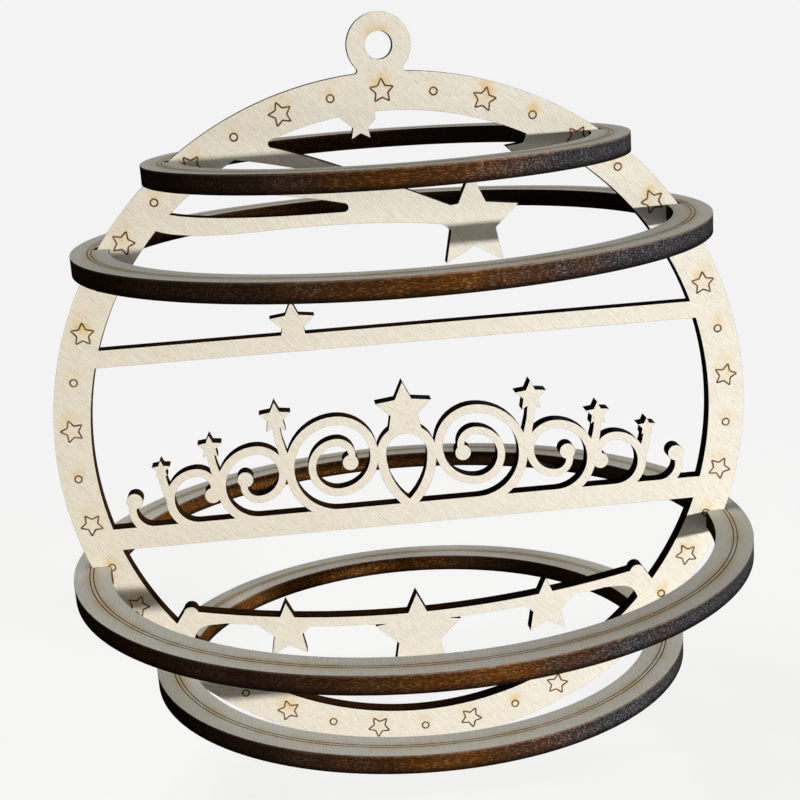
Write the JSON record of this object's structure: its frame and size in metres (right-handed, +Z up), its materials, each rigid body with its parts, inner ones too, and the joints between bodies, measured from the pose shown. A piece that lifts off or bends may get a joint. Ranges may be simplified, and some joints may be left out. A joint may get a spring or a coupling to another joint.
{
  "type": "hanging wooden bauble",
  "caption": "Round pierced plywood face plate with hanging loop, comet, stars and scrollwork, crossed by flat horizontal rings that outline a hanging ball.",
  "frame": {"origin": "centre of the hanging hole, in the middle of the face plate's thickness", "axes": "+X to the right across the face plate as seen from the front, +Y towards the back, through the hanging hole, +Z up"},
  "size_m": [0.117, 0.1158, 0.1262],
  "materials": {
    "face_wood": "raw cream birch plywood with charred brown cut edges and lightly scorched engraving",
    "ring_wood": "raw pale plywood faces with charred dark brown cut edges and a double scored line"
  },
  "bodies": {
    "root": {"face_plate": "face_wood", "ring_top": "ring_wood", "ring_upper": "ring_wood", "ring_lower": "ring_wood", "ring_base": "ring_wood"}
  },
  "joints": []
}
